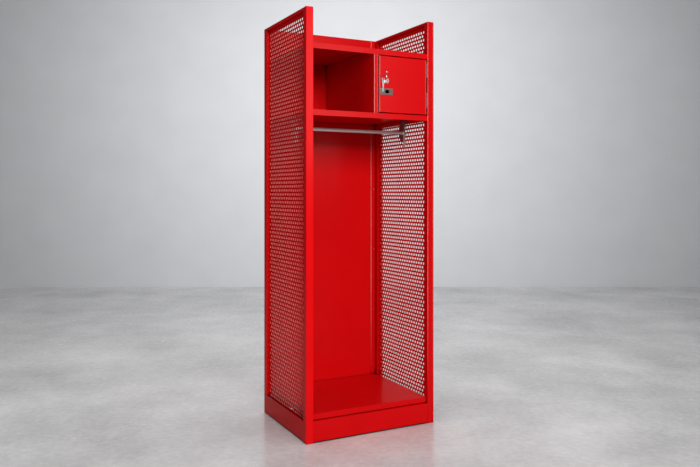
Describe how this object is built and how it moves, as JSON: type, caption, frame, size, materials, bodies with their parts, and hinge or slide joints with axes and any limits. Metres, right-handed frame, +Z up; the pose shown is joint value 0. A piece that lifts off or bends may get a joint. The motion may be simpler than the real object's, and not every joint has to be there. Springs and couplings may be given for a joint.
{
  "type": "open gear locker",
  "caption": "Tall red steel gear locker with perforated sides, solid back, shelves, a coat rod, an open cubby and a lockable hinged box above the hanging bay.",
  "frame": {"origin": "on the floor, at the centre of the frame between the four posts", "axes": "+Z up, -Y out of the open front, +X to the right as seen from the front"},
  "size_m": [0.635, 0.527, 1.829],
  "materials": {
    "red_coat": "semi-gloss powder coat",
    "zinc_steel": "satin",
    "bright_plating": "polished",
    "rubber": "matte"
  },
  "bodies": {
    "carcass": {"back_panel": "red_coat", "back_panel_rivets": "zinc_steel", "base_tie_bar": "red_coat", "bottom_shelf": "red_coat", "box_divider": "red_coat", "box_side_sheet": "red_coat", "coat_rod": "zinc_steel", "door_bumpers": "rubber", "door_jamb": "red_coat", "door_sill": "red_coat", "front_kick_plate": "red_coat", "hinge_post_rivets": "zinc_steel", "left_back_strip": "red_coat", "left_base_rail": "red_coat", "left_front_post": "red_coat", "left_perforated_panel": "red_coat", "left_rear_post": "red_coat", "left_rod_bracket": "zinc_steel", "left_top_rail": "red_coat", "lower_hinge_pin": "zinc_steel", "lower_hinge_post_leaf": "zinc_steel", "middle_shelf": "red_coat", "post_caps": "red_coat", "right_back_strip": "red_coat", "right_base_rail": "red_coat", "right_front_post": "red_coat", "right_perforated_panel": "red_coat", "right_rear_post": "red_coat", "right_rod_bracket": "zinc_steel", "right_top_rail": "red_coat", "rod_bracket_screws": "zinc_steel", "rod_ferrules": "zinc_steel", "shelf_bolts": "zinc_steel", "top_shelf": "red_coat", "upper_hinge_pin": "zinc_steel", "upper_hinge_post_leaf": "zinc_steel"},
    "door": {"box_door": "red_coat", "upper_hinge_door_leaf": "zinc_steel", "lower_hinge_door_leaf": "zinc_steel", "hinge_door_rivets": "zinc_steel", "lock_cylinder": "bright_plating", "lock_nut": "zinc_steel", "pull_stud": "bright_plating", "pull_plate": "zinc_steel", "pull_plate_screws": "zinc_steel", "upper_dome": "bright_plating", "lower_dome": "bright_plating"},
    "lock": {"lock_plug": "bright_plating", "lock_cam": "zinc_steel", "cam_screw": "zinc_steel", "key": "bright_plating"},
    "pull": {"door_pull": "bright_plating"}
  },
  "joints": [
    {"name": "door_hinge", "type": "hinge", "parent": "carcass", "child": "door", "pos_m": [0.282, -0.2475, 1.5285], "axis": [0, 0, 1], "range_deg": [0, 160]},
    {"name": "lock_turn", "type": "hinge", "parent": "door", "child": "lock", "pos_m": [0.0615, -0.2475, 1.54], "axis": [0, 1, 0], "range_deg": [0, 90]},
    {"name": "pull_swing", "type": "hinge", "parent": "door", "child": "pull", "pos_m": [0.049, -0.2521, 1.552], "axis": [-1, 0, 0], "range_deg": [0, 30]}
  ]
}
